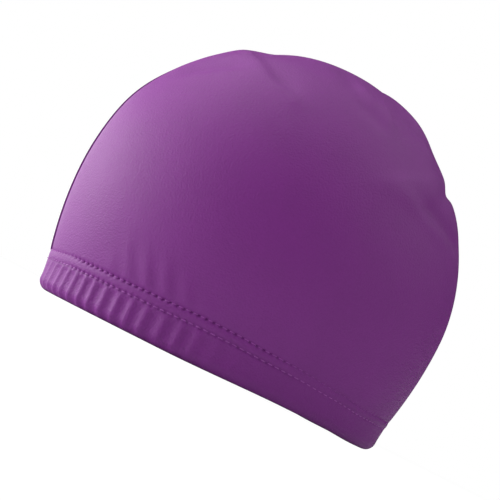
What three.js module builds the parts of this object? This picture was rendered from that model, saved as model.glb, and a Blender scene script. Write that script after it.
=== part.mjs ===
// A swim cap of coated stretch cloth, standing on its rim: two crown panels that meet on a
// seam from forehead to nape, and an elastic hem whose lower edge curls in under the cap.
// Millimetres, +Z up. -Y is the forehead, +Y the nape and +X the wearer's left ear.
// The origin is the middle of the rim's footprint on the surface that the cap stands on.

import * as THREE from "three";
import { mergeVertices } from "three/addons/utils/BufferGeometryUtils.js";

// Overall sizes of the cap
const capLength = 205;
const capWidth = 160;
const capHeight = 169;
const widestHeight = 65.6;

// Crown cloth and its seams
const crownWall = 1.2;
const seamGap = 0.3;
const foreheadFullness = 2.1;
const earFullness = 2.14;
const napeFullness = 1.9;
const topFullness = 2.14;
const napeBreadth = 0.05;

// Hem: its height, how far it is drawn in, and its rolled lower edge
const hemHeight = 20;
const napeHemDrop = 2.6;
const hemWall = 2.6;
const hemTuck = 6;
const tuckPower = 1.9;
const hemLean = 1.8;
const rollRadius = 5.5;
const footWidth = 1.8;
const rimLift = 1.25;

// Elastic gathers: upright ribs in the hem, and the leaning puckers that they start above it
const ribsAround = 72;
const ribDepth = 0.65;
const puckersAround = 56;
const puckerDepth = 0.75;
const puckerRise = 22;
const puckerLean = 0.55;

// The climb, from 0 at the widest section to 1 at the top, from which the dome takes topFullness
const topClimb = 0.85;

// Where each shape starts, is at its full strength, fades and ends. The angles are in radians
// from the forehead round either side, and the climbs are shares of the height named with them.
const ribAngles = { from: -1, full: 0, fading: 1.25, to: 1.7 };
const ribClimb = { from: -0.2, full: 0.25, fading: 0.5, to: 0.8 };
const puckerAngles = { from: 0.8, full: 0.98, fading: 1.15, to: 1.35 };
const puckerClimb = { from: 0, full: 0.25, fading: 0.4, to: 1 };
const rimLiftAngles = { from: 1.2, full: 1.9, fading: 2.05, to: 2.57 };
const hemDropAngles = { from: 1.6, full: 2.4 };

// Dents where the centre seam is drawn tight, and the swells between them, which have a depth
// below 0. end is the half of the seam that the dent is on, rise its place between the widest
// section at 0 and the crown's top at 1, and bearing the turn of its fold toward the nape, in
// degrees. reach and breadth are shares of the cap's width, and depth is a share of its height.
const seamDents = [
  { end: "forehead", rise: 0.664, bearing: 41, reach: 0.42, breadth: 0.0853, depth: 0.0181 },
  { end: "forehead", rise: 0.42, bearing: 60, reach: 0.2, breadth: 0.0558, depth: 0.0015 },
  { end: "forehead", rise: 0.644, bearing: 7, reach: 0.375, breadth: 0.0646, depth: -0.0117 },
  { end: "forehead", rise: 0.264, bearing: -13, reach: 0.375, breadth: 0.1073, depth: -0.0048 },
  { end: "nape", rise: 0.785, bearing: -10, reach: 0.35, breadth: 0.0911, depth: 0.0181 },
  { end: "nape", rise: 0.869, bearing: 32, reach: 0.5, breadth: 0.0634, depth: -0.0264 },
  { end: "nape", rise: 0.558, bearing: 46, reach: 0.45, breadth: 0.0252, depth: -0.0044 },
  { end: "nape", rise: 0.506, bearing: 4, reach: 0.4, breadth: 0.026, depth: 0.0213 },
];

// A seam dent reaches only cloth that faces its own way: cosines of the angle between them.
const dentFacing = { none: 0.2, full: 0.7 };

// Mesh steps
const crownRows = { belowWidest: 5, aboveWidest: 13, crowding: 1.3 };
const crownColumns = [
  { upTo: 0.75, columns: 9 },
  { upTo: 1.31, columns: 20 },
  { upTo: Math.PI, columns: 17 },
];
const columnsPerRib = 4;
const plainHemStep = 0.105;
const hemFaceSteps = 3;
const rollSteps = 3;
const slopeStep = 1e-3;
const mergeTolerance = 1e-4;

const halfLength = capLength / 2;
const halfWidth = capWidth / 2;
const domeHeight = capHeight - widestHeight;
const quarterTurn = Math.PI / 2;

// Goes smoothly from 0 at start to 1 at end.
function ease(value, start, end) {
  return THREE.MathUtils.smoothstep(value, start, end);
}

// How strong a shape is at one place of its zone, from 0 to 1.
function strengthIn(zone, value) {
  return ease(value, zone.from, zone.full) * (1 - ease(value, zone.fading, zone.to));
}

// The turn from the forehead round the nearer side, from 0 to a half turn.
function turnFromForehead(angle) {
  return Math.abs(THREE.MathUtils.euclideanModulo(angle + Math.PI, 2 * Math.PI) - Math.PI);
}

// The height of the line where the hem meets the crown, which is lower at the nape.
function hemTopAt(angle) {
  const turn = turnFromForehead(angle);
  return hemHeight - napeHemDrop * ease(turn, hemDropAngles.from, hemDropAngles.full);
}

// A point on a level oval, at an angle that is 0 at the forehead and a half turn at the nape.
function ovalPoint(angle, length, width, height) {
  const x = width * Math.sin(angle) * (1 - napeBreadth * Math.cos(angle));
  return new THREE.Vector3(x, -length * Math.cos(angle), height);
}

// How full the dome is in one direction at a climb: 2 is an ellipse, and more is boxier.
function fullnessAt(angle, climb) {
  const along = Math.cos(angle);
  const end = along > 0 ? foreheadFullness : napeFullness;
  const side = THREE.MathUtils.lerp(earFullness, end, along * along);
  return THREE.MathUtils.lerp(side, topFullness, ease(climb, topClimb, 1));
}

// The crown's smooth surface. rise is 0 at the hem, 1 at the widest section and 2 at the top.
function smoothCrown(angle, rise) {
  const width = halfWidth - seamGap / 2;
  const crownFoot = hemTopAt(angle) + seamGap / 2;
  if (rise <= 1) {
    const tuck = hemTuck * (1 - rise) ** tuckPower;
    const height = THREE.MathUtils.lerp(crownFoot, widestHeight, rise);
    return ovalPoint(angle, halfLength - tuck, width - tuck, height);
  }
  const climb = Math.sin((rise - 1) * quarterTurn);
  const fullness = fullnessAt(angle, climb);
  const scale = Math.max(0, 1 - climb ** fullness) ** (1 / fullness);
  return ovalPoint(angle, halfLength * scale, width * scale, widestHeight + domeHeight * climb);
}

// The outward normal of the smooth crown.
function crownNormal(angle, rise) {
  if (rise > 2 - slopeStep) return new THREE.Vector3(0, 0, 1);
  const around = smoothCrown(angle + slopeStep, rise).sub(smoothCrown(angle - slopeStep, rise));
  const below = smoothCrown(angle, Math.max(0, rise - slopeStep));
  const upward = smoothCrown(angle, rise + slopeStep).sub(below);
  return around.cross(upward).normalize();
}

// Each seam dent as a line that leaves the seam across the panel.
const dentLines = seamDents.map((dent) => {
  const angle = dent.end === "forehead" ? 0 : Math.PI;
  const start = smoothCrown(angle, 1 + dent.rise);
  const normal = crownNormal(angle, 1 + dent.rise);
  const sideways = new THREE.Vector3(1, 0, 0);
  const napeward = normal.clone().cross(sideways).normalize();
  const bearing = THREE.MathUtils.degToRad(dent.bearing);
  const along = sideways.multiplyScalar(Math.cos(bearing)).addScaledVector(napeward, Math.sin(bearing));
  const across = normal.clone().cross(along).normalize();
  return { ...dent, start, normal, along, across };
});

// How far the seam dents draw the cloth in at a point of the smooth crown.
function seamDentAt(point, normal) {
  let total = 0;
  for (const dent of dentLines) {
    const facing = ease(normal.dot(dent.normal), dentFacing.none, dentFacing.full);
    const offset = point.clone().sub(dent.start);
    const along = offset.dot(dent.along);
    const across = Math.hypot(offset.dot(dent.across), Math.min(0, along));
    const fade = 1 - ease(along, 0, dent.reach * capWidth);
    const section = Math.exp(-((across / (dent.breadth * capWidth)) ** 2));
    total += facing * fade * section * dent.depth * capHeight;
  }
  return total;
}

// How far the puckers above the hem push the cloth out. They lean forward as they climb.
function puckerAt(angle, height) {
  const climb = (height - hemHeight) / puckerRise;
  const foot = angle + (puckerLean * (height - hemHeight)) / halfLength;
  const strength = strengthIn(puckerClimb, climb) * strengthIn(puckerAngles, foot);
  return puckerDepth * strength * Math.cos(foot * puckersAround);
}

// A point of the crown, sunk below its outer face by depth.
function crownPoint(angle, rise, depth) {
  const point = smoothCrown(angle, rise);
  const normal = crownNormal(angle, rise);
  const push = puckerAt(angle, point.z) - seamDentAt(point, normal) - depth;
  return point.addScaledVector(normal, push);
}

// The hem's closed section at an angle as [inset from the hem's top outer edge, height], from
// the top of the outer face down, round the rolled edge and up the inner face.
function hemSection(angle) {
  const top = hemTopAt(angle) - seamGap / 2;
  const rollInset = hemLean + rollRadius;
  const innerRadius = rollRadius - hemWall;
  const onFace = (part, depth) => [hemLean * part + depth, THREE.MathUtils.lerp(top, rollRadius, part)];
  const onRoll = (radius, part) => [
    rollInset - radius * Math.cos(part * quarterTurn),
    rollRadius - radius * Math.sin(part * quarterTurn),
  ];
  const section = [];
  for (let i = 0; i < hemFaceSteps; i++) section.push(onFace(i / hemFaceSteps, 0));
  for (let i = 0; i <= rollSteps; i++) section.push(onRoll(rollRadius, i / rollSteps));
  section.push([rollInset + footWidth, 0], [rollInset + footWidth, hemWall]);
  section.push(onRoll(innerRadius, 1), onRoll(innerRadius, 0));
  section.push(onFace(1 / 2, hemWall), onFace(0, hemWall));
  return section;
}

// A point of the hem: its section carried round the oval, with the ribs and the lifted rim.
function hemPoint(angle, [inset, height]) {
  const turn = turnFromForehead(angle);
  const climb = height / hemTopAt(angle);
  const rib = ribDepth * strengthIn(ribAngles, turn) * strengthIn(ribClimb, climb);
  const reach = hemTuck + inset - rib * Math.cos(angle * ribsAround);
  const lift = rimLift * strengthIn(rimLiftAngles, turn) * (1 - climb);
  return ovalPoint(angle, halfLength - reach, halfWidth - reach, height + lift);
}

// A closed solid from quads, each a list of four points seen counter-clockwise from outside.
function solidFromQuads(quads) {
  const corners = quads.flatMap(([a, b, c, d]) => [a, b, c, a, c, d]);
  const positions = corners.flatMap((point) => point.toArray());
  const soup = new THREE.BufferGeometry();
  soup.setAttribute("position", new THREE.Float32BufferAttribute(positions, 3));
  const merged = mergeVertices(soup, mergeTolerance);
  const kept = [];
  for (let i = 0; i < merged.index.count; i += 3) {
    const [a, b, c] = [0, 1, 2].map((k) => merged.index.getX(i + k));
    if (a !== b && b !== c && c !== a) kept.push(a, b, c);
  }
  merged.setIndex(kept);
  merged.computeVertexNormals();
  return merged;
}

// The angles of the crown's columns, closest where the puckers are.
function crownAngles() {
  const angles = [0];
  for (const { upTo, columns } of crownColumns) {
    const from = angles.at(-1);
    for (let i = 1; i <= columns; i++) angles.push(from + ((upTo - from) * i) / columns);
  }
  return angles;
}

// The heights of the crown's rows, from the hem at 0 to the top at 2.
function crownRises() {
  const rises = [];
  const { belowWidest, aboveWidest, crowding } = crownRows;
  for (let i = 0; i < belowWidest; i++) rises.push((i / belowWidest) ** crowding);
  for (let i = 0; i <= aboveWidest; i++) rises.push(1 + i / aboveWidest);
  return rises;
}

// The left crown panel: an outer and an inner face, closed along the seam and the hem.
function crownPanelGeometry() {
  const angles = crownAngles();
  const rises = crownRises();
  const faceAt = (depth) => rises.map((rise) => angles.map((angle) => crownPoint(angle, rise, depth)));
  const outer = faceAt(0);
  const inner = faceAt(crownWall);
  const lastRow = rises.length - 1;
  const lastColumn = angles.length - 1;
  const quads = [];
  for (let row = 0; row < lastRow; row++) {
    for (let column = 0; column < lastColumn; column++) {
      const [o, p] = [outer[row], outer[row + 1]];
      const [i, j] = [inner[row], inner[row + 1]];
      quads.push([o[column], o[column + 1], p[column + 1], p[column]]);
      quads.push([i[column + 1], i[column], j[column], j[column + 1]]);
    }
    for (const [column, nape] of [[0, false], [lastColumn, true]]) {
      const edge = [outer[row][column], outer[row + 1][column], inner[row + 1][column], inner[row][column]];
      quads.push(nape ? edge.reverse() : edge);
    }
  }
  for (let column = 0; column < lastColumn; column++) {
    quads.push([inner[0][column], inner[0][column + 1], outer[0][column + 1], outer[0][column]]);
  }
  return solidFromQuads(quads);
}

// The angles of the hem's columns: a few for each rib, and wide steps where the hem is plain.
function hemAngles() {
  const ribStep = (2 * Math.PI) / ribsAround / columnsPerRib;
  const ribbed = Math.ceil(ribAngles.to / ribStep);
  const angles = [];
  for (let i = -ribbed; i <= ribbed; i++) angles.push(i * ribStep);
  const plainAngle = 2 * (Math.PI - ribbed * ribStep);
  const plain = Math.ceil(plainAngle / plainHemStep);
  for (let i = 1; i < plain; i++) angles.push(ribbed * ribStep + (plainAngle * i) / plain);
  return angles;
}

// The hem, one closed ring.
function hemGeometry() {
  const columns = hemAngles().map((angle) => hemSection(angle).map((place) => hemPoint(angle, place)));
  const quads = [];
  columns.forEach((near, column) => {
    const far = columns[(column + 1) % columns.length];
    near.forEach((point, k) => {
      const next = (k + 1) % near.length;
      quads.push([near[next], far[next], far[k], point]);
    });
  });
  return solidFromQuads(quads);
}

// A named mesh of the cap's purple cloth.
function clothMesh(name, geometry, color) {
  const material = new THREE.MeshStandardMaterial({ color, roughness: clothRoughness, metalness: 0 });
  const mesh = new THREE.Mesh(geometry, material);
  mesh.name = name;
  return mesh;
}

const crownPurple = 0x761d80;
const hemPurple = 0x721c7c;
const clothRoughness = 0.6;

const leftPanel = clothMesh("crown_left", crownPanelGeometry(), crownPurple);
leftPanel.position.x = seamGap / 2;

const rightPanel = clothMesh("crown_right", crownPanelGeometry(), crownPurple);
rightPanel.scale.x = -1;
rightPanel.position.x = -seamGap / 2;

const swimCap = new THREE.Group();
swimCap.add(leftPanel, rightPanel, clothMesh("hem_band", hemGeometry(), hemPurple));

export default swimCap;
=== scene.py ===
"""The looks of a swim cap of coated stretch knit, standing on its rim on a pale floor.

The shapes are worked out in millimetres and turned to metres when a mesh is made. -Y is the
forehead, +Y the nape, +X the wearer's left ear and +Z up. Angles go round the cap in radians
from the forehead at 0, over the wearer's left ear, to the nape at a half turn.
"""

import logging
import math
from dataclasses import dataclass, field
from enum import Enum
from typing import Sequence

import bmesh
import bpy
import numpy as np
from mathutils import Matrix, Vector

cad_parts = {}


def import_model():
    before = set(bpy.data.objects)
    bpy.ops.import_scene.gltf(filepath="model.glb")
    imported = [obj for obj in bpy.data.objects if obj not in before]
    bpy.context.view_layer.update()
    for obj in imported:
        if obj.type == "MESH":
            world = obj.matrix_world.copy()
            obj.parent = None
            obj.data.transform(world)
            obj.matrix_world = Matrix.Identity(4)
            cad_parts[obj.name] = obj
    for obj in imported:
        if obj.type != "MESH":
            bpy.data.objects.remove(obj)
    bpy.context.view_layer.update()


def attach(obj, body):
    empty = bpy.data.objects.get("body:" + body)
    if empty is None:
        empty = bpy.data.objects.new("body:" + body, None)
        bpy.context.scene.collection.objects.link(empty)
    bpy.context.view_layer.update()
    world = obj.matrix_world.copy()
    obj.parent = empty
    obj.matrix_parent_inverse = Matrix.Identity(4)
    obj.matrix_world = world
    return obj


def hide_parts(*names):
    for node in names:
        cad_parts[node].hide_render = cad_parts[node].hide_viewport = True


log = logging.getLogger("swim_cap")

MM = 0.001
CRISP_ANGLE = math.radians(55.0)
WHITE = (1.0, 1.0, 1.0, 1.0)
Array = np.ndarray
# What the input of a node takes: a socket to link or a value to set
Feed = bpy.types.NodeSocket | float


class Side(Enum):
    """The half of the cap that a crown panel covers."""

    LEFT = 1
    RIGHT = -1


class SeamEnd(Enum):
    """The half of the centre seam that a dent is on, with its angle round the cap."""

    FOREHEAD = 0.0
    NAPE = math.pi


def ease(value: Array, start: Array | float, end: Array | float) -> Array:
    """Go smoothly from 0 at start to 1 at end.

    Args:
        value: Where to read the curve.
        start: The value at which it leaves 0.
        end: The value at which it reaches 1.

    Returns:
        The curve's height at each value.
    """
    share = np.clip((value - start) / (end - start), 0.0, 1.0)
    return share * share * (3.0 - 2.0 * share)


def band_steps(ends: Sequence[float], counts: Sequence[int]) -> Array:
    """Divide bands that follow one another into even steps.

    Args:
        ends: Where the bands start and end, one number more than there are bands.
        counts: The number of places in each band, its two ends included.

    Returns:
        All places in rising order, each of them once.
    """
    bands = zip(ends[:-1], ends[1:], counts)
    return np.unique(np.concatenate([np.linspace(*band) for band in bands]))


def turn_from_forehead(angle: Array) -> Array:
    """Turn from the forehead round the nearer side, from 0 to a half turn."""
    return np.abs((angle + math.pi) % (2.0 * math.pi) - math.pi)


@dataclass(frozen=True)
class Zone:
    """Where a shape starts, is at its full strength, fades and ends."""

    start: float
    full: float
    fading: float
    end: float

    def strength(self, value: Array) -> Array:
        """Strength of the shape at each value, from 0 to 1."""
        return ease(value, self.start, self.full) * (1.0 - ease(value, self.fading, self.end))


@dataclass(frozen=True)
class Ripple:
    """A slow, uneven wave round the cap, made of a few sines that repeat after a full turn."""

    waves: tuple[int, ...]
    seed: float

    def at(self, angle: Array) -> Array:
        """Height of the wave at each angle, between about -1 and 1."""
        sines = (np.sin(count * angle + self.seed * (k + 1) ** 2) for k, count in enumerate(self.waves))
        return sum(sines) / len(self.waves)


@dataclass(frozen=True)
class Profile:
    """A value that changes smoothly with the turn from the forehead, given at a few angles in degrees."""

    degrees: tuple[float, ...]
    values: tuple[float, ...]

    def at(self, angle: Array) -> Array:
        """Read the value, which is the same on both sides of the cap.

        Args:
            angle: Angles round the cap.

        Returns:
            The value at each angle.
        """
        turn = np.degrees(turn_from_forehead(angle))
        knots = np.asarray(self.degrees, dtype=float)
        values = np.asarray(self.values, dtype=float)
        place = np.clip(np.searchsorted(knots, turn, side="right") - 1, 0, len(knots) - 2)
        share = ease(turn, knots[place], knots[place + 1])
        return values[place] * (1.0 - share) + values[place + 1] * share


@dataclass(frozen=True)
class Pucker:
    """A fold above the hem: its foot in degrees from the forehead, its top and its depth in millimetres."""

    foot: float
    top: float
    depth: float


@dataclass(frozen=True)
class SeamDent:
    """A place where the centre seam is drawn tight, or a swell between two, with a depth below 0.

    rise is its place from the widest section at 0 to the crown's top at 1, and bearing is the
    turn of its fold toward the nape in degrees. The other sizes are in millimetres.
    """

    end: SeamEnd
    rise: float
    bearing: float
    reach: float
    breadth: float
    depth: float


@dataclass(frozen=True)
class Fold:
    """A short fold across a crown panel, a hollow or with a depth below 0 a ridge.

    start and end are places on the crown, each as the turn from the forehead in degrees and the
    rise from the hem at 0 over the widest section at 1 to the top at 2. The other sizes are in
    millimetres; left and right are the fold's breadths on either side of the way from start to
    end, seen from outside.
    """

    start: tuple[float, float]
    end: tuple[float, float]
    left: float
    right: float
    depth: float


@dataclass(frozen=True)
class CapForm:
    """The cap's outer form, with its dents, puckers and folds. The solids have it without the folds.

    Lengths are in millimetres. The lift's angles are in radians from the forehead, a pucker's
    breadth in degrees and its lean in degrees a millimetre.
    """

    length: float = 205.0
    width: float = 160.0
    height: float = 169.0
    widest_height: float = 65.6
    forehead_fullness: float = 2.1
    ear_fullness: float = 2.14
    nape_fullness: float = 1.9
    top_fullness: float = 2.14
    top_climb: float = 0.85
    nape_breadth: float = 0.05
    hem_line: Profile = Profile(
        (0, 10, 30, 50, 61, 77, 86, 97, 105, 120, 135, 180),
        (19.3, 19.3, 20.3, 20.4, 20.7, 21.4, 21.2, 20.4, 20.1, 18.7, 17.3, 17.3),
    )
    hem_tuck: float = 6.0
    tuck_power: float = 1.9
    hem_lean: float = 1.5
    roll_radius: float = 5.5
    foot_width: float = 1.8
    rim_lift: float = 1.25
    lift_angles: Zone = Zone(1.2, 1.9, 2.05, 2.57)
    pucker_lean: float = 0.27
    pucker_breadth: float = 2.0
    pucker_rise: tuple[float, float] = (-1.0, 4.0)
    pucker_fade: float = 26.0
    same_way: tuple[float, float] = (0.2, 0.7)
    fold_end_reach: float = 0.75
    puckers: tuple[Pucker, ...] = (
        Pucker(45.5, 32.0, 0.3),
        Pucker(51.8, 46.0, 0.45),
        Pucker(58.3, 44.0, 0.7),
        Pucker(64.6, 43.0, 0.75),
        Pucker(70.8, 39.0, 0.6),
        Pucker(77.0, 33.0, 0.35),
    )
    dents: tuple[SeamDent, ...] = (
        SeamDent(SeamEnd.FOREHEAD, 0.664, 41, 67.2, 13.65, 3.06),
        SeamDent(SeamEnd.FOREHEAD, 0.42, 60, 32.0, 8.93, 0.25),
        SeamDent(SeamEnd.FOREHEAD, 0.644, 7, 60.0, 10.34, -1.98),
        SeamDent(SeamEnd.FOREHEAD, 0.264, -13, 60.0, 17.17, -0.81),
        SeamDent(SeamEnd.NAPE, 0.785, -10, 56.0, 14.58, 3.06),
        SeamDent(SeamEnd.NAPE, 0.869, 32, 80.0, 10.14, -4.46),
        SeamDent(SeamEnd.NAPE, 0.558, 46, 72.0, 4.03, -0.74),
        SeamDent(SeamEnd.NAPE, 0.506, 4, 64.0, 4.16, 3.6),
    )
    folds: tuple[Fold, ...] = (
        Fold((33.0, 1.62), (60.5, 1.5), 9.0, 3.6, 1.2),
        Fold((63.0, 1.465), (69.0, 1.435), 3.5, 3.0, -0.7),
        Fold((27.5, 1.44), (35.0, 1.49), 8.0, 6.0, 1.5),
        Fold((80.0, 1.74), (84.0, 1.69), 5.0, 5.0, 0.8),
        Fold((92.5, 1.67), (96.0, 1.63), 4.5, 4.5, -0.9),
        Fold((94.0, 1.55), (99.0, 1.53), 4.5, 4.5, 0.8),
        Fold((104.0, 1.63), (105.0, 1.57), 4.5, 4.5, -0.8),
        Fold((132.5, 1.6), (140.5, 1.55), 8.0, 6.0, 1.8),
        Fold((128.0, 1.42), (109.0, 1.335), 10.0, 4.5, -1.2),
        Fold((126.0, 1.32), (148.0, 1.29), 4.5, 5.0, 1.9),
        Fold((115.0, 1.31), (133.0, 1.265), 4.5, 5.0, -1.0),
    )

    def hem_top(self, angle: Array) -> Array:
        """Height of the line where the hem meets the crown, which is lower at the nape."""
        return self.hem_line.at(angle)

    def oval(self, angle: Array, inset: Array, height: Array, scale: Array | float = 1.0) -> Array:
        """Place points on a level oval.

        Args:
            angle: Angles round the cap.
            inset: How far inside the cap's widest outline the oval lies.
            height: Heights of the points.
            scale: The oval's size as a share of the widest outline.

        Returns:
            The points, with x, y and z in the last axis.
        """
        half_width = (self.width / 2 - inset) * scale
        half_length = (self.length / 2 - inset) * scale
        x = half_width * np.sin(angle) * (1.0 - self.nape_breadth * np.cos(angle))
        return np.stack(np.broadcast_arrays(x, -half_length * np.cos(angle), height), axis=-1)

    def fullness(self, angle: Array, climb: Array) -> Array:
        """Work out how full the dome is in one direction: 2 is an ellipse, and more is boxier.

        Args:
            angle: Angles round the cap.
            climb: 0 at the widest section and 1 at the top.

        Returns:
            The fullness at each place.
        """
        along = np.cos(angle)
        end = np.where(along > 0, self.forehead_fullness, self.nape_fullness)
        side = self.ear_fullness + (end - self.ear_fullness) * along**2
        return side + (self.top_fullness - side) * ease(climb, self.top_climb, 1.0)

    def smooth_crown(self, angle: Array, rise: Array) -> Array:
        """Place points on the crown's smooth surface.

        Args:
            angle: Angles round the cap.
            rise: 0 at the hem, 1 at the widest section and 2 at the top.

        Returns:
            The points, with x, y and z in the last axis.
        """
        foot = self.hem_top(angle)
        low = np.clip(rise, 0.0, 1.0)
        climb = np.sin(np.clip(rise - 1.0, 0.0, 1.0) * math.pi / 2)
        fullness = self.fullness(angle, climb)
        scale = np.clip(1.0 - climb**fullness, 0.0, None) ** (1.0 / fullness)
        dome_height = self.height - self.widest_height
        below_widest = foot + (self.widest_height - foot) * low
        above_widest = self.widest_height + dome_height * climb
        height = np.where(rise <= 1, below_widest, above_widest)
        inset = self.hem_tuck * (1.0 - low) ** self.tuck_power
        return self.oval(angle, inset, height, np.where(rise <= 1, 1.0, scale))

    def crown_normal(self, angle: Array, rise: Array) -> Array:
        """Work out which way the smooth crown faces.

        Args:
            angle: Angles round the cap.
            rise: 0 at the hem, 1 at the widest section and 2 at the top.

        Returns:
            Outward normals as unit vectors.
        """
        step = 1e-3
        rise = np.minimum(rise, 2.0 - 2 * step)
        around = self.smooth_crown(angle + step, rise) - self.smooth_crown(angle - step, rise)
        lower = np.maximum(0.0, rise - step)
        upward = self.smooth_crown(angle, rise + step) - self.smooth_crown(angle, lower)
        normal = np.cross(around, upward)
        return normal / np.linalg.norm(normal, axis=-1, keepdims=True)

    def faces_with(self, normal: Array, facing: Array) -> Array:
        """How far each place faces the same way as a dent or fold, which keeps it on its own side."""
        return ease(normal @ facing, *self.same_way)

    def dent_depth(self, point: Array, normal: Array) -> Array:
        """How far the seam dents draw the cloth in.

        Args:
            point: Points of the smooth crown.
            normal: The crown's normals there.

        Returns:
            The depth at each point.
        """
        total = np.zeros(point.shape[:-1])
        sideways = np.array([1.0, 0.0, 0.0])
        for dent in self.dents:
            angle = np.array(dent.end.value)
            start = self.smooth_crown(angle, np.array(1.0 + dent.rise))
            facing = self.crown_normal(angle, np.array(1.0 + dent.rise))
            napeward = np.cross(facing, sideways)
            bearing = math.radians(dent.bearing)
            along = sideways * math.cos(bearing) + napeward * math.sin(bearing)
            across = np.cross(facing, along)
            run = (point - start) @ along
            off = np.hypot((point - start) @ across, np.minimum(0.0, run))
            fade = self.faces_with(normal, facing) * (1.0 - ease(run, 0.0, dent.reach))
            total += fade * dent.depth * np.exp(-((off / dent.breadth) ** 2))
        return total

    def fold_depth(self, point: Array, normal: Array) -> Array:
        """How far the short folds draw the cloth in.

        Args:
            point: Points of the smooth crown.
            normal: The crown's normals there.

        Returns:
            The depth at each point.
        """
        total = np.zeros(point.shape[:-1])
        for fold in self.folds:
            ends = (fold.start, fold.end)
            start, end = (self.smooth_crown(np.radians(turn), np.array(rise)) for turn, rise in ends)
            middle = np.radians(0.5 * (fold.start[0] + fold.end[0]))
            facing = self.crown_normal(middle, np.array(0.5 * (fold.start[1] + fold.end[1])))
            span = (end - start) - ((end - start) @ facing) * facing
            length = float(np.linalg.norm(span))
            along = span / length
            run = (point - start) @ along
            off = (point - start) @ np.cross(facing, along)
            past = np.maximum(np.abs(run - length / 2) - length / 2, 0.0)
            breadth = np.where(off > 0, fold.left, fold.right)
            reach = self.fold_end_reach * (fold.left + fold.right)
            near = np.exp(-((off / breadth) ** 2) - (past / reach) ** 2)
            total += fold.depth * near * self.faces_with(normal, facing)
        return total

    def pucker(self, angle: Array, height: Array) -> Array:
        """How far the puckers above the hem push the cloth out. They lean forward as they climb.

        Args:
            angle: Angles round the cap.
            height: Heights over the floor.

        Returns:
            The distance at each place.
        """
        above = height - self.hem_top(angle)
        foot = np.degrees(turn_from_forehead(angle)) + self.pucker_lean * above
        total = np.zeros(np.broadcast(angle, height).shape)
        for pucker in self.puckers:
            fade = ease(above, *self.pucker_rise) * (1.0 - ease(height, self.pucker_fade, pucker.top))
            total += pucker.depth * fade * np.exp(-(((foot - pucker.foot) / self.pucker_breadth) ** 2))
        return total

    def lift(self, angle: Array) -> Array:
        """Height of the gap that the rim leaves under it behind each ear."""
        return self.rim_lift * self.lift_angles.strength(turn_from_forehead(angle))


@dataclass(frozen=True)
class ClothGrid:
    """Rows and columns of points that become the faces of a cloth piece."""

    points: Array
    closed: bool = False

    def quads(self, base: int = 0, flip: bool = False) -> Array:
        """Number the corners of every face.

        Args:
            base: The number of the grid's first point in the mesh.
            flip: Whether the faces look the other way.

        Returns:
            Four corner numbers for each face.
        """
        rows, columns = self.points.shape[:2]
        number = base + np.arange(rows * columns).reshape(rows, columns)
        if self.closed:
            number = np.concatenate([number, number[:, :1]], axis=1)
        corners = [number[:-1, :-1], number[:-1, 1:], number[1:, 1:], number[1:, :-1]]
        faces = np.stack(corners, axis=-1).reshape(-1, 4)
        return faces[:, ::-1] if flip else faces


def mesh_object(name: str, points: Array, faces: Array, finish: bpy.types.Material) -> bpy.types.Object:
    """Make a smooth mesh object from points and faces.

    Args:
        name: The piece's name.
        points: Corner points in millimetres.
        faces: Corner numbers of each face.
        finish: The material that dresses it.

    Returns:
        The object, linked to the scene.
    """
    mesh = bpy.data.meshes.new(name)
    mesh.from_pydata((points.reshape(-1, 3) * MM).tolist(), [], faces.tolist())
    mesh.validate()
    mesh.shade_smooth()
    mesh.set_sharp_from_angle(angle=CRISP_ANGLE)
    mesh.materials.append(finish)
    piece = bpy.data.objects.new(name, mesh)
    bpy.context.scene.collection.objects.link(piece)
    return piece


def dress_as(piece: bpy.types.Object, node: str = "") -> bpy.types.Object:
    """Let a piece ride on the cap, and hide the solid that it stands for.

    Args:
        piece: The object.
        node: The solid that the piece replaces, if there is one.

    Returns:
        The same object.
    """
    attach(piece, "root")
    if node:
        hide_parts(node)
    return piece


def report(piece: bpy.types.Object) -> None:
    """Log the name of a piece and its number of triangles."""
    triangles = sum(len(face.vertices) - 2 for face in piece.data.polygons)
    log.info("%s: %d triangles", piece.name, triangles)


@dataclass(frozen=True)
class StitchRow:
    """A row of lockstitches round the hem, drop millimetres down from the hem line."""

    name: str
    drop: float
    stitches: int = 164
    ring_length: float = 540.0
    thread_radius: float = 0.23
    stitch_share: float = 0.68
    sink: Profile = Profile((0, 96, 112, 180), (0.0, 0.0, 0.25, 0.25))
    hole_radius: float = 0.8
    hole_depth: float = 0.6
    groove_breadth: float = 0.9
    groove_depth: float = 0.1
    tightness: Profile = Profile((0, 24, 34, 92, 112, 180), (0.25, 0.3, 1.0, 1.0, 0.3, 0.3))

    def phase(self, angle: Array) -> Array:
        """Place within a stitch, from -0.5 to 0.5 with the needle hole at 0."""
        return (angle * self.stitches / (2.0 * math.pi) + 0.5) % 1.0 - 0.5

    def pull(self, angle: Array, below: Array) -> Array:
        """How far the row pulls the cloth in.

        Args:
            angle: Angles round the cap.
            below: Distances down the cloth from the hem line.

        Returns:
            The depth at each place.
        """
        pitch = self.ring_length / self.stitches
        offset = below - self.drop
        groove = self.groove_depth * np.exp(-((offset / self.groove_breadth) ** 2))
        away = np.hypot(self.phase(angle) * pitch, offset)
        hole = self.tightness.at(angle) * self.hole_depth * np.exp(-((away / self.hole_radius) ** 2))
        return groove + hole


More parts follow.
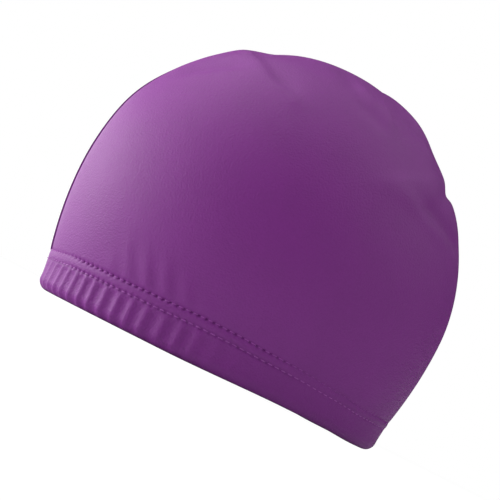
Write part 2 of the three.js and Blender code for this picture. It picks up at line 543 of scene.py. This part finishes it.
@dataclass(frozen=True)
class HemCloth:
    """The turned hem with its elastic ribs, stitch rows and rolled rim.

    The foot is the part of the rolled rim that lies on the floor, with the cloth's edge. rib_crests
    are the turns from the forehead, in degrees, at which the ribs stand highest. The first lies
    across the forehead and only gives the spacing there. seam_radius turns an angle from the centre
    seam into millimetres, and seam_spread is in square millimetres.
    """

    form: CapForm
    rows: tuple[StitchRow, ...]
    columns: int = 984
    thickness: float = 2.6
    hem_height: float = 20.0
    band_ends: tuple[float, ...] = (0.0, 1.6, 3.4, 6.0)
    band_rows: tuple[int, ...] = (6, 4, 9, 12)
    roll_rows: int = 12
    inner_roll_rows: int = 7
    inner_shares: tuple[float, ...] = (0.25, 0.5, 0.75, 1.0)
    foot_bend: float = 0.6
    foot_setback: float = 0.7
    foot_edge: float = -0.9
    foot_rounding: float = 0.4
    rib_crests: tuple[float, ...] = (
        -5.9, 0.0, 5.9, 11.9, 17.4, 22.5, 27.1, 31.7, 36.4, 40.8,
        45.8, 50.8, 55.6, 60.5, 66.4, 71.7, 76.7, 83.0, 88.5, 94.0,
    )
    rib_depth: float = 0.95
    rib_strength: Profile = Profile(
        (0, 10, 25, 40, 70, 78, 84, 96),
        (0.3, 0.5, 0.75, 1.0, 1.0, 0.8, 0.4, 0.0),
    )
    rib_below: Zone = Zone(4.6, 7.5, 17.0, 30.0)
    rib_sharpness: Profile = Profile((0, 30, 50, 180), (2.2, 1.8, 1.25, 1.25))
    rib_level: float = 0.85
    rib_lean: float = 0.13
    rib_lean_about: float = 8.0
    rib_lean_fade: tuple[float, float] = (17.0, 45.0)
    lean_power: float = 1.4
    puff: Profile = Profile((0, 15, 40, 180), (0.02, 0.04, 0.2, 0.2))
    puff_height: float = 4.6
    seam_depth: float = 0.5
    seam_spread: float = 0.7
    seam_radius: float = 90.0

    def lean_in(self, down: Array) -> Array:
        """How far the outer face has leaned in at a distance below the hem line."""
        face = self.hem_height - self.form.roll_radius
        return self.form.hem_lean * (1.0 - (1.0 - down / face) ** self.lean_power)

    def section(self) -> Array:
        """Make the hem's section at the forehead.

        Returns:
            Rows of inset, height share of the outer face, distance down the cloth, and 1 on the
            outer face or 0 elsewhere.
        """
        form = self.form
        face = self.hem_height - form.roll_radius
        rolled = form.hem_lean + form.roll_radius
        inner = form.roll_radius - self.thickness
        rows: list[tuple[float, float, float, float]] = []
        for down in band_steps((*self.band_ends, face), self.band_rows):
            rows.append((self.lean_in(down), 1.0 - down / face, down, 1.0))
        for turn in np.linspace(0.0, math.pi / 2, self.roll_rows)[1:]:
            rows.append((
                rolled - form.roll_radius * math.cos(turn),
                -math.sin(turn),
                face + form.roll_radius * turn,
                0.0,
            ))
        end = face + form.roll_radius * math.pi / 2 + form.foot_width
        bend = rolled + form.foot_width * self.foot_bend
        tip = rolled + form.foot_width
        rounded = self.thickness - self.foot_rounding
        rows.append((bend, -1.0, end - self.foot_setback, 0.0))
        rows.append((tip, self.foot_edge, end, 0.0))
        rows.append((tip, -1.0 + rounded / form.roll_radius, end, 0.0))
        rows.append((bend, -1.0 + self.thickness / form.roll_radius, end, 0.0))
        for turn in np.linspace(math.pi / 2, 0.0, self.inner_roll_rows):
            rows.append((
                rolled - inner * math.cos(turn),
                -math.sin(turn) * inner / form.roll_radius,
                face + form.roll_radius,
                0.0,
            ))
        for up in self.inner_shares:
            down = face * (1.0 - up)
            rows.append((self.lean_in(down) + self.thickness, up, down, 0.0))
        return np.array(rows)

    def rib(self, angle: Array, below: Array) -> Array:
        """How far the elastic's gathers push the cloth out: rounded ridges with hollows between.

        Args:
            angle: Angles round the cap.
            below: Distances down the cloth from the hem line.

        Returns:
            The distance at each place, below 0 in the hollows.
        """
        turn = np.degrees(turn_from_forehead(angle))
        lean = self.rib_lean * (below - self.rib_lean_about) * (1.0 - ease(turn, *self.rib_lean_fade))
        count = np.interp(turn + lean, self.rib_crests, np.arange(len(self.rib_crests)))
        wave = (0.5 + 0.5 * np.cos(2.0 * math.pi * count)) ** self.rib_sharpness.at(angle)
        reach = self.rib_strength.at(angle) * self.rib_below.strength(below)
        return self.rib_depth * reach * (wave - self.rib_level)

    def points(self, section: Array, angle: Array) -> Array:
        """Carry the section round the cap.

        Args:
            section: Rows as the section method gives them.
            angle: The columns' angles.

        Returns:
            The points, one row of the grid for each row of the section.
        """
        form = self.form
        inset, share, below, outer = (section[:, k, None] for k in range(4))
        angle = angle[None, :]
        top = form.hem_top(angle)
        upright = form.roll_radius + share * (top - form.roll_radius)
        curled = form.roll_radius * (1.0 + share)
        height = np.where(share > 0, upright, curled)
        height = height + form.lift(angle) * (1.0 - height / top)
        outward = self.rib(angle, below)
        pulled = sum(row.pull(angle, below) for row in self.rows)
        puffed = self.puff.at(angle) * np.sin(np.clip(below / self.puff_height, 0.0, 1.0) * math.pi)
        turn = turn_from_forehead(angle)
        from_seam = np.minimum(turn, math.pi - turn) * self.seam_radius
        seam = self.seam_depth * np.exp(-(from_seam**2) / self.seam_spread)
        outward = outward + outer * (puffed - pulled - seam)
        return form.oval(angle, form.hem_tuck + inset - outward, height)

    def build(self, finish: bpy.types.Material) -> bpy.types.Object:
        """Build the hem as one closed ring and dress it.

        Args:
            finish: The material of the hem's cloth.

        Returns:
            The hem.
        """
        angle = np.arange(self.columns) * 2.0 * math.pi / self.columns
        points = self.points(self.section(), angle)
        ring = ClothGrid(np.concatenate([points, points[:1]]), closed=True)
        faces = ring.quads(flip=True) % (points.shape[0] * self.columns)
        piece = mesh_object("hem_cloth", points, faces, finish)
        return dress_as(piece, "hem_band")


@dataclass(frozen=True)
class CrownPanel:
    """One half of the crown: a single layer of coated knit, turned in along the centre seam.

    lap_sink is how far in the left and the right panel lie at the seam down the forehead, where
    one laps over the other.
    """

    form: CapForm
    side: Side
    row: StitchRow
    columns: int = 360
    seam_closeness: float = 0.3
    rise_ends: tuple[float, ...] = (0.0, 0.1, 1.0, 2.0)
    rise_rows: tuple[int, ...] = (9, 24, 98)
    thickness: float = 1.1
    seam_depth: float = 0.25
    seam_breadth: float = 0.5
    lap_sink: tuple[float, float] = (0.5, -0.3)
    lap_breadth: float = 9.0
    lap_end: float = 55.0
    lap_fade: float = 25.0
    seam_gap: float = 0.002
    slack: Ripple = Ripple((3, 5, 8), 1.3)
    slack_depth: float = 0.25
    slack_start: tuple[float, float] = (10.0, 60.0)
    slack_fade: tuple[float, float] = (1.6, 1.9)

    def rises(self) -> Array:
        """Rows of the panel from the hem at 0 to the top at 2, closest at the hem line."""
        return band_steps(self.rise_ends, self.rise_rows)

    def angles(self) -> Array:
        """Columns of the panel, closest at the centre seam."""
        even = np.linspace(0.0, math.pi, self.columns)
        return even - self.seam_closeness * np.sin(2.0 * even)

    def relief(self, angle: Array, rise: Array, point: Array, normal: Array) -> Array:
        """How far the cloth stands out from the smooth crown.

        Args:
            angle: Angles round the cap.
            rise: 0 at the hem, 1 at the widest section and 2 at the top.
            point: Points of the smooth crown.
            normal: The crown's normals there.

        Returns:
            The distance at each point, below 0 where the cloth is drawn in.
        """
        form = self.form
        above = point[..., 2] - form.hem_top(angle)
        loose = self.slack_depth * self.slack.at(angle * self.side.value) * ease(above, *self.slack_start)
        swell = loose * (1.0 - ease(rise, *self.slack_fade))
        pinch = self.row.pull(angle, -above)
        groove = self.seam_depth * np.exp(-((point[..., 0] / self.seam_breadth) ** 2))
        lap = self.lap_sink[list(Side).index(self.side)] * np.exp(-((point[..., 0] / self.lap_breadth) ** 2))
        front = ease(-point[..., 1], self.lap_end, self.lap_end + self.lap_fade)
        seam = groove * (1.0 - front) + lap * front
        drawn_in = form.dent_depth(point, normal) + form.fold_depth(point, normal) + pinch + seam
        return form.pucker(angle, point[..., 2]) + swell - drawn_in

    def build(self, finish: bpy.types.Material) -> bpy.types.Object:
        """Build the panel as one closed layer and dress it.

        Args:
            finish: The material of the crown's cloth.

        Returns:
            The panel.
        """
        angle, rise = np.meshgrid(self.angles(), self.rises())
        point = self.form.smooth_crown(angle, rise)
        normal = self.form.crown_normal(angle, rise)
        outer = point + normal * self.relief(angle, rise, point, normal)[..., None]
        inner = outer - normal * self.thickness
        outer[..., 0] = np.maximum(outer[..., 0], self.seam_gap)
        inner[..., 0] = np.maximum(inner[..., 0], self.seam_gap)
        count = angle.size
        faces = [ClothGrid(outer).quads(), ClothGrid(inner).quads(count, flip=True)]
        number = np.arange(count).reshape(angle.shape)
        border = np.concatenate([number[0, ::-1], number[1:, 0], number[-1, 1:], number[-2:0:-1, -1]])
        following = np.roll(border, -1)
        faces.append(np.stack([border, following, following + count, border + count], axis=-1))
        points = np.concatenate([outer.reshape(-1, 3), inner.reshape(-1, 3)])
        stacked = np.concatenate(faces)
        if self.side is Side.RIGHT:
            points = points * np.array([-1.0, 1.0, 1.0])
            stacked = stacked[:, ::-1]
        side = self.side.name.lower()
        piece = mesh_object(f"crown_{side}_cloth", points, stacked, finish)
        merge_close(piece)
        return dress_as(piece, f"crown_{side}")


def merge_close(piece: bpy.types.Object, distance: float = 1e-6) -> None:
    """Merge points of a piece that lie on one another, such as those at the crown's top.

    Args:
        piece: The object.
        distance: How close they are, in metres.
    """
    work = bmesh.new()
    work.from_mesh(piece.data)
    bmesh.ops.remove_doubles(work, verts=work.verts, dist=distance)
    work.to_mesh(piece.data)
    work.free()
    piece.data.set_sharp_from_angle(angle=CRISP_ANGLE)


@dataclass(frozen=True)
class ThreadRow:
    """The threads of one stitch row, each a short bowed tube between two needle holes.

    The bow is in thread radii. A thread tapers at both ends, where end_share of its section is left.
    """

    hem: HemCloth
    row: StitchRow
    rings: int = 9
    sides: int = 8
    bow_height: float = 0.9
    bow_curve: float = 3.6
    end_power: int = 6
    end_share: float = 0.05

    def build(self, finish: bpy.types.Material) -> bpy.types.Object:
        """Build all the threads of the row as one piece and dress it.

        Args:
            finish: The thread's material.

        Returns:
            The threads.
        """
        row = self.row
        form = self.hem.form
        pitch = 2.0 * math.pi / row.stitches
        share = np.linspace(-0.5, 0.5, self.rings)
        angle = ((np.arange(row.stitches)[:, None] + 0.5) + share[None, :] * row.stitch_share) * pitch
        flat = angle.reshape(1, -1)
        face = self.hem.hem_height - form.roll_radius
        down = np.array([[self.hem.lean_in(row.drop), 1.0 - row.drop / face, row.drop, 1.0]])
        bare = HemCloth(form, ())
        centre = bare.points(down, flat[0])[0].reshape(row.stitches, self.rings, 3)
        outward = np.stack([np.sin(angle), -np.cos(angle), np.zeros_like(angle)], axis=-1)
        bow = row.thread_radius * (self.bow_height - self.bow_curve * share**2)
        bow = bow - row.sink.at(angle) - row.groove_depth
        centre = centre + outward * bow[..., None]
        upward = np.array([0.0, 0.0, 1.0])
        turn = np.arange(self.sides) * 2.0 * math.pi / self.sides
        taper = np.clip(1.0 - (2.0 * share) ** self.end_power, self.end_share, 1.0)
        thick = row.thread_radius * np.sqrt(taper)
        rim = outward[:, :, None, :] * np.cos(turn)[:, None] + upward * np.sin(turn)[:, None]
        tube = centre[:, :, None, :] + rim * thick[None, :, None, None]
        one = ClothGrid(np.zeros((self.rings, self.sides, 3)), closed=True).quads()
        first = np.arange(row.stitches) * self.rings * self.sides
        faces = (one[None] + first[:, None, None]).reshape(-1, 4)
        piece = mesh_object(row.name, tube.reshape(-1, 3), faces, finish)
        return dress_as(piece)


class NodeSheet:
    """A short way to place and link the nodes of one material or node group."""

    def __init__(self, tree: bpy.types.NodeTree) -> None:
        """Start on an empty tree.

        Args:
            tree: The node tree to fill.
        """
        self.tree = tree
        tree.nodes.clear()

    def add(self, kind: str, inputs: dict | None = None, **settings: object) -> bpy.types.Node:
        """Place a node, set it up and link what feeds it.

        Args:
            kind: The node's type name.
            inputs: Its inputs by name or number: a socket to link or a value to set.
            **settings: The node's own properties.

        Returns:
            The node.
        """
        node = self.tree.nodes.new(kind)
        for key, value in settings.items():
            setattr(node, key, value)
        for key, value in (inputs or {}).items():
            if isinstance(value, bpy.types.NodeSocket):
                self.tree.links.new(value, node.inputs[key])
            else:
                node.inputs[key].default_value = value
        return node

    def math(self, operation: str, first: Feed, second: Feed = 0.0) -> bpy.types.NodeSocket:
        """Place a Math node and give its result."""
        return self.add("ShaderNodeMath", {0: first, 1: second}, operation=operation).outputs[0]


@dataclass(frozen=True)
class KnitGrain:
    """The fine grain of coated knit: pebbles with fuzz between them, and slow clouds of colour."""

    usual_size: float = 0.8
    pebble_unevenness: float = 0.9
    fuzz_roughness: float = 0.6
    cloud_scale: float = 55.0
    cloud_roughness: float = 0.5
    detail: float = 3.0
    pebble_height: float = 0.6
    fuzz_height: float = 0.7
    fuzz_color: float = 0.6
    cloud_color: float = 0.4

    def group(self) -> bpy.types.NodeTree:
        """Make the node group.

        Returns:
            A group with the input Grain Size in millimetres and the outputs Height and Mottle.
        """
        group = bpy.data.node_groups.new("knit_grain", "ShaderNodeTree")
        sheet = NodeSheet(group)
        size = group.interface.new_socket("Grain Size", in_out="INPUT", socket_type="NodeSocketFloat")
        size.default_value = self.usual_size
        group.interface.new_socket("Height", in_out="OUTPUT", socket_type="NodeSocketFloat")
        group.interface.new_socket("Mottle", in_out="OUTPUT", socket_type="NodeSocketFloat")
        entry = sheet.add("NodeGroupInput")
        place = sheet.add("ShaderNodeTexCoord").outputs["Object"]
        count = sheet.math("DIVIDE", 1.0 / MM, entry.outputs["Grain Size"])
        pebble = sheet.add("ShaderNodeTexVoronoi", {
            "Vector": place,
            "Scale": count,
            "Randomness": self.pebble_unevenness,
        }, feature="SMOOTH_F1")
        fuzz = self.noise(sheet, place, count, self.fuzz_roughness)
        cloud = self.noise(sheet, place, self.cloud_scale, self.cloud_roughness)
        pebbles = sheet.math("SUBTRACT", 1.0, pebble.outputs["Distance"])
        raised = sheet.math("MULTIPLY", pebbles, self.pebble_height)
        height = sheet.math("ADD", raised, sheet.math("MULTIPLY", fuzz, self.fuzz_height))
        speckle = sheet.math("MULTIPLY", fuzz, self.fuzz_color)
        mottle = sheet.math("ADD", sheet.math("MULTIPLY", cloud, self.cloud_color), speckle)
        sheet.add("NodeGroupOutput", {"Height": height, "Mottle": mottle})
        return group

    def noise(self, sheet: NodeSheet, place: Feed, scale: Feed, roughness: float) -> bpy.types.NodeSocket:
        """Place a noise texture and give its value.

        Args:
            sheet: The group's nodes.
            place: The socket with the place on the cloth.
            scale: The noise's scale, a socket or a value.
            roughness: How strong its finest detail is.

        Returns:
            The socket with the noise's value.
        """
        inputs = {"Vector": place, "Scale": scale, "Detail": self.detail, "Roughness": roughness}
        return sheet.add("ShaderNodeTexNoise", inputs).outputs[0]


@dataclass(frozen=True)
class CoatedKnit:
    """The satin finish of stretch knit with a thin coating.

    more_dull is what the roughness gains in the hollows of the grain, and less_dull what it loses
    on the peaks. grain_range are the grain's heights there.
    """

    name: str
    deep: tuple[float, float, float] = (0.155, 0.003, 0.186)
    light: tuple[float, float, float] = (0.213, 0.005, 0.256)
    roughness: float = 0.6
    specular: float = 0.7
    more_dull: float = 0.07
    less_dull: float = 0.04
    ior: float = 1.47
    grain_size: float = 0.8
    grain_range: tuple[float, float] = (0.2, 1.0)
    grain_depth: float = 0.0004
    bump_strength: float = 0.6

    def material(self, grain: bpy.types.NodeTree) -> bpy.types.Material:
        """Make the material.

        Args:
            grain: The group that gives the fine grain.

        Returns:
            The material.
        """
        finish = bpy.data.materials.new(self.name)
        finish.use_nodes = True
        sheet = NodeSheet(finish.node_tree)
        knit = sheet.add("ShaderNodeGroup", node_tree=grain)
        knit.inputs["Grain Size"].default_value = self.grain_size
        height = knit.outputs["Height"]
        tone = sheet.add("ShaderNodeMix", {
            0: knit.outputs["Mottle"],
            6: (*self.deep, 1.0),
            7: (*self.light, 1.0),
        }, data_type="RGBA")
        dull = sheet.add("ShaderNodeMapRange", {
            "Value": height,
            "From Min": self.grain_range[0],
            "From Max": self.grain_range[1],
            "To Min": self.roughness + self.more_dull,
            "To Max": self.roughness - self.less_dull,
        })
        bump = sheet.add("ShaderNodeBump", {
            "Height": height,
            "Strength": self.bump_strength,
            "Distance": self.grain_depth,
        })
        shader = sheet.add("ShaderNodeBsdfPrincipled", {
            "Base Color": tone.outputs[2],
            "Roughness": dull.outputs[0],
            "Normal": bump.outputs[0],
            "IOR": self.ior,
            "Specular IOR Level": self.specular,
        })
        sheet.add("ShaderNodeOutputMaterial", {"Surface": shader.outputs[0]})
        return finish


@dataclass(frozen=True)
class SewingThread:
    """The finish of twisted polyester thread."""

    name: str
    color: tuple[float, float, float] = (0.32, 0.06, 0.37)
    roughness: float = 0.4
    shades: tuple[float, float] = (0.8, 1.2)
    twist_scale: float = 4000.0
    twist_detail: float = 2.0
    twist_strength: float = 0.5
    twist_depth: float = 0.00005

    def material(self) -> bpy.types.Material:
        """Make the material, with the thread's twist as fine uneven relief.

        Returns:
            The material.
        """
        finish = bpy.data.materials.new(self.name)
        finish.use_nodes = True
        sheet = NodeSheet(finish.node_tree)
        place = sheet.add("ShaderNodeTexCoord").outputs["Object"]
        twist = sheet.add("ShaderNodeTexNoise", {
            "Vector": place,
            "Scale": self.twist_scale,
            "Detail": self.twist_detail,
        }).outputs[0]
        deep, light = ((*(part * shade for part in self.color), 1.0) for shade in self.shades)
        tone = sheet.add("ShaderNodeMix", {0: twist, 6: deep, 7: light}, data_type="RGBA")
        bump = sheet.add("ShaderNodeBump", {
            "Height": twist,
            "Strength": self.twist_strength,
            "Distance": self.twist_depth,
        })
        shader = sheet.add("ShaderNodeBsdfPrincipled", {
            "Base Color": tone.outputs[2],
            "Roughness": self.roughness,
            "Normal": bump.outputs[0],
        })
        sheet.add("ShaderNodeOutputMaterial", {"Surface": shader.outputs[0]})
        return finish


@dataclass(frozen=True)
class SoftLight:
    """A square soft light that shines at the cap.

    Its angles are in degrees, its power in watts, and its size and distance in metres.
    """

    name: str
    azimuth: float
    elevation: float
    power: float
    size: float = 0.9
    distance: float = 1.3

    def place(self, target: Vector) -> None:
        """Put the light up.

        Args:
            target: The point that it faces, in metres.
        """
        lamp = bpy.data.lights.new(self.name, "AREA")
        lamp.energy = self.power
        lamp.size = self.size
        around, up = math.radians(self.azimuth), math.radians(self.elevation)
        away = Vector((math.sin(around) * math.cos(up), -math.cos(around) * math.cos(up), math.sin(up)))
        light = bpy.data.objects.new(self.name, lamp)
        light.location = target + away * self.distance
        light.rotation_euler = (-away).to_track_quat("-Z", "Y").to_euler()
        bpy.context.scene.collection.objects.link(light)


@dataclass(frozen=True)
class Studio:
    """A pale floor, a surround that is only seen, and soft lights. Lengths are in metres."""

    surround_light: float = 0.0
    surround_seen: float = 1.0
    floor_white: float = 0.8
    floor_glow: float = 0.13
    floor_seen: float = 1.08
    floor_seen_share: float = 0.9
    floor_half: float = 6.0
    target_height: float = 0.08
    lights: tuple[SoftLight, ...] = (
        SoftLight("forehead_light", -15.0, 1.0, 13.6, 0.6),
        SoftLight("far_cheek_light", -30.0, 2.0, 4.6, 0.6),
        SoftLight("far_side_light", -60.0, 5.0, 2.6, 0.6),
        SoftLight("cheek_light", 15.0, 2.0, 5.0, 0.6),
        SoftLight("far_brow_light", -20.0, 50.0, 5.8),
        SoftLight("near_brow_light", 20.0, 50.0, 3.4),
        SoftLight("ear_light", 60.0, 50.0, 1.0, 1.4),
        SoftLight("back_light", 145.0, 45.0, 6.6, 1.4),
        SoftLight("far_back_light", 200.0, 50.0, 1.2, 1.4),
        SoftLight("nape_light", 180.0, 20.0, 0.5),
        SoftLight("top_light", 0.0, 90.0, 4.5, 1.4),
    )

    def build(self) -> None:
        """Make the floor, the surround and the lights."""
        half = self.floor_half / MM
        corners = np.array([[-half, -half, 0.0], [half, -half, 0.0], [half, half, 0.0], [-half, half, 0.0]])
        floor = mesh_object("floor", corners, np.array([[0, 1, 2, 3]]), self.floor_paint())
        self.set_surround()
        for light in self.lights:
            light.place(Vector((0.0, 0.0, self.target_height)))

    def floor_paint(self) -> bpy.types.Material:
        """Make the floor's matt white with a faint glow, seen nearly as pale as the surround.

        Returns:
            The material.
        """
        paint = bpy.data.materials.new("floor_paint")
        paint.use_nodes = True
        sheet = NodeSheet(paint.node_tree)
        matt = sheet.add("ShaderNodeBsdfDiffuse", {"Color": (*[self.floor_white] * 3, 1.0)})
        faint = sheet.add("ShaderNodeEmission", {"Color": WHITE, "Strength": self.floor_glow})
        lit = sheet.add("ShaderNodeAddShader", {0: matt.outputs[0], 1: faint.outputs[0]})
        pale = sheet.add("ShaderNodeEmission", {"Color": WHITE, "Strength": self.floor_seen})
        looked_at = sheet.add("ShaderNodeLightPath").outputs["Is Camera Ray"]
        seen = sheet.math("MULTIPLY", looked_at, self.floor_seen_share)
        both = sheet.add("ShaderNodeMixShader", {0: seen, 1: lit.outputs[0], 2: pale.outputs[0]})
        sheet.add("ShaderNodeOutputMaterial", {"Surface": both.outputs[0]})
        return paint

    def set_surround(self) -> None:
        """Set the surround, which is seen as white and gives no light."""
        world = bpy.data.worlds.new("surround")
        bpy.context.scene.world = world
        world.use_nodes = True
        sheet = NodeSheet(world.node_tree)
        lit = sheet.add("ShaderNodeBackground", {"Color": WHITE, "Strength": self.surround_light})
        shown = sheet.add("ShaderNodeBackground", {"Color": WHITE, "Strength": self.surround_seen})
        seen = sheet.add("ShaderNodeLightPath").outputs["Is Camera Ray"]
        both = sheet.add("ShaderNodeMixShader", {0: seen, 1: lit.outputs[0], 2: shown.outputs[0]})
        sheet.add("ShaderNodeOutputWorld", {"Surface": both.outputs[0]})


@dataclass(frozen=True)
class PhotoCamera:
    """A camera at the ear's side, near the floor and tilted in its frame.

    Lengths are in millimetres and angles in degrees, apart from the near limit in metres.
    """

    distance: float = 613.0
    azimuth: float = 80.0
    height: float = 6.0
    aim: tuple[float, float, float] = (0.0, -6.7, 64.95)
    roll: float = 26.61
    focal_pixels: float = 1199.3
    frame_pixels: float = 500.0
    sensor: float = 36.0
    near_limit: float = 0.01

    def place(self) -> None:
        """Make the camera and hand the scene over to it."""
        around = math.radians(self.azimuth)
        spot = Vector((math.sin(around) * self.distance, -math.cos(around) * self.distance, self.height))
        forward = (Vector(self.aim) - spot).normalized()
        right = forward.cross(Vector((0.0, 0.0, 1.0))).normalized()
        up = right.cross(forward)
        roll = math.radians(self.roll)
        tilted_right = right * math.cos(roll) + up * math.sin(roll)
        tilted_up = up * math.cos(roll) - right * math.sin(roll)
        data = bpy.data.cameras.new("photo_camera")
        data.sensor_width = self.sensor
        data.lens = self.focal_pixels / self.frame_pixels * self.sensor
        data.clip_start = self.near_limit
        camera = bpy.data.objects.new("photo_camera", data)
        turn = Matrix((tilted_right, tilted_up, -forward)).transposed()
        camera.matrix_world = Matrix.Translation(spot * MM) @ turn.to_4x4()
        bpy.context.scene.collection.objects.link(camera)
        bpy.context.scene.camera = camera


@dataclass
class SwimCap:
    """The whole cap: two crown panels, the hem and its stitches."""

    form: CapForm = field(default_factory=CapForm)
    upper_row: StitchRow = StitchRow(
        "upper_stitches",
        0.0,
        sink=Profile((0, 20, 180), (0.22, 0.4, 0.42)),
        hole_depth=0.85,
    )
    lower_row: StitchRow = StitchRow("lower_stitches", 4.5)
    hem_grain_depth: float = 0.00045

    def build(self) -> Sequence[bpy.types.Object]:
        """Build every piece and dress it.

        Returns:
            The pieces.
        """
        grain = KnitGrain().group()
        crown_finish = CoatedKnit("crown_coated_knit").material(grain)
        hem_finish = CoatedKnit("hem_coated_knit", grain_depth=self.hem_grain_depth).material(grain)
        thread = SewingThread("sewing_thread").material()
        hem = HemCloth(self.form, (self.upper_row, self.lower_row))
        pieces = [CrownPanel(self.form, side, self.upper_row).build(crown_finish) for side in Side]
        pieces.append(hem.build(hem_finish))
        pieces += [ThreadRow(hem, row).build(thread) for row in hem.rows]
        return pieces


def main() -> None:
    """Build the cap, its studio and the camera in that order, and report each piece."""
    logging.basicConfig(level=logging.INFO, format="%(name)s %(message)s")
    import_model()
    bpy.context.scene.view_settings.view_transform = "Standard"
    for piece in SwimCap().build():
        report(piece)
    Studio().build()
    PhotoCamera().place()


if __name__ == "__main__":
    main()
